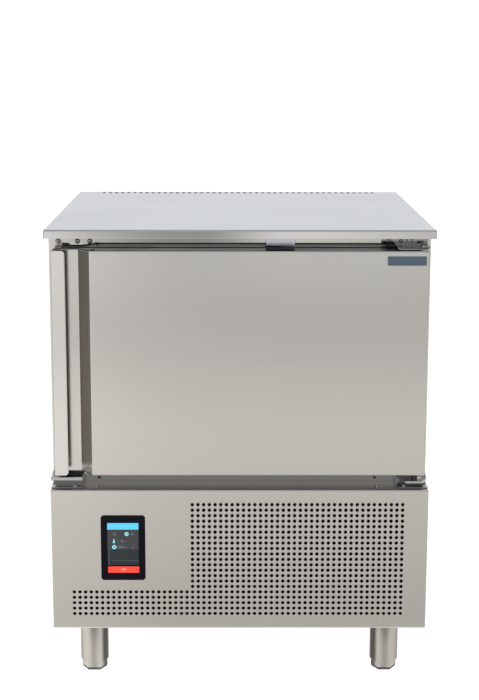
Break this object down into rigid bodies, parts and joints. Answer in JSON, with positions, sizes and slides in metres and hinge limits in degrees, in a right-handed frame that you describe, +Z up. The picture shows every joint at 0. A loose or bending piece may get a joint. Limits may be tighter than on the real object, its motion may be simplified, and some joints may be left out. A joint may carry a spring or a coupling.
{
  "type": "blast chiller",
  "caption": "Stainless undercounter blast chiller: hinged insulated door with a recessed full-height pull, tray racks, touch display, perforated air inlet, levelling feet.",
  "frame": {"origin": "on the floor, under the middle of the worktop, at the soles of the feet", "axes": "+X to the right as the door is faced, +Y to the back, +Z up"},
  "size_m": [0.79, 0.8, 0.95],
  "materials": {
    "worktop_steel": "satin, brushed front to back",
    "board": "plain board",
    "casing_steel": "satin brushed stainless",
    "liner_steel": "bright satin stainless",
    "galvanised": "dull zinc",
    "door_steel": "satin brushed stainless",
    "foam": "rigid polyurethane foam",
    "bright_steel": "bright stainless",
    "black_plastic": "satin black",
    "screen_glass": "gloss black glass",
    "grey_plastic": "moulded grey",
    "seal_rubber": "soft black seal",
    "fan_plastic": "moulded black",
    "fin_aluminium": "bare fins",
    "black_enamel": "semi-gloss black enamel",
    "copper": "bare copper",
    "pipe_lagging": "black closed-cell lagging",
    "foot_steel": "satin stainless tube",
    "adjuster_steel": "satin stainless with a black sole"
  },
  "bodies": {
    "root": {"worktop": "worktop_steel", "worktop_core": "board", "side_panel_left": "casing_steel", "side_panel_right": "casing_steel", "back_panel": "galvanised", "cable_gland": "black_plastic", "door_frame": "casing_steel", "chamber_liner": "liner_steel", "cabinet_insulation": "foam", "compartment_ceiling": "galvanised", "duct_wall": "galvanised", "base_pan": "galvanised", "front_panel": "casing_steel", "display_bezel": "black_plastic", "display_glass": "screen_glass", "display_panel": "grey_plastic", "door_switch": "grey_plastic", "hinge_bracket_lower": "bright_steel", "hinge_bracket_spare": "bright_steel", "hinge_bracket_upper": "bright_steel", "hinge_bush": "black_plastic", "tray_rack_left": "bright_steel", "tray_rack_right": "bright_steel", "evaporator_panel": "liner_steel", "evaporator_fan_guard": "bright_steel", "evaporator_motor": "black_enamel", "evaporator_coil": "fin_aluminium", "drain_pipe": "grey_plastic", "condensate_tray": "black_plastic", "condenser_coil": "fin_aluminium", "condenser_shroud": "galvanised", "condenser_motor": "black_enamel", "compressor": "black_enamel", "receiver": "black_enamel", "filter_drier": "copper", "liquid_pipe": "copper", "suction_pipe": "pipe_lagging", "discharge_pipe": "copper", "electrical_box": "galvanised", "electrical_box_lid": "galvanised", "foot_sleeve_front_left": "foot_steel", "foot_sleeve_front_right": "foot_steel", "foot_sleeve_rear_left": "foot_steel", "foot_sleeve_rear_right": "foot_steel"},
    "door": {"door_skin": "door_steel", "door_handle": "door_steel", "door_cap_top": "grey_plastic", "door_cap_bottom": "grey_plastic", "door_insulation": "foam", "door_inner_panel": "liner_steel", "door_gasket": "seal_rubber", "door_magnet": "black_plastic"},
    "evaporator_rotor": {"evaporator_fan": "fan_plastic"},
    "condenser_rotor": {"condenser_fan": "fan_plastic"},
    "foot_front_left": {"foot_adjuster_front_left": "adjuster_steel"},
    "foot_front_right": {"foot_adjuster_front_right": "adjuster_steel"},
    "foot_rear_left": {"foot_adjuster_rear_left": "adjuster_steel"},
    "foot_rear_right": {"foot_adjuster_rear_right": "adjuster_steel"}
  },
  "joints": [
    {"name": "door_hinge", "type": "hinge", "parent": "root", "child": "door", "pos_m": [0.373, -0.37, 0.441], "axis": [0, 0, 1], "range_deg": [0, 110]},
    {"name": "evaporator_fan_spin", "type": "hinge", "parent": "root", "child": "evaporator_rotor", "pos_m": [0, 0.1615, 0.6725], "axis": [0, 1, 0], "continuous": true},
    {"name": "condenser_fan_spin", "type": "hinge", "parent": "root", "child": "condenser_rotor", "pos_m": [0.12, -0.2697, 0.2416], "axis": [0, 1, 0], "continuous": true},
    {"name": "foot_front_left_screw", "type": "slide", "parent": "root", "child": "foot_front_left", "axis": [0, 0, -1], "range_m": [0, 0.03]},
    {"name": "foot_front_right_screw", "type": "slide", "parent": "root", "child": "foot_front_right", "axis": [0, 0, -1], "range_m": [0, 0.03]},
    {"name": "foot_rear_left_screw", "type": "slide", "parent": "root", "child": "foot_rear_left", "axis": [0, 0, -1], "range_m": [0, 0.03]},
    {"name": "foot_rear_right_screw", "type": "slide", "parent": "root", "child": "foot_rear_right", "axis": [0, 0, -1], "range_m": [0, 0.03]}
  ]
}
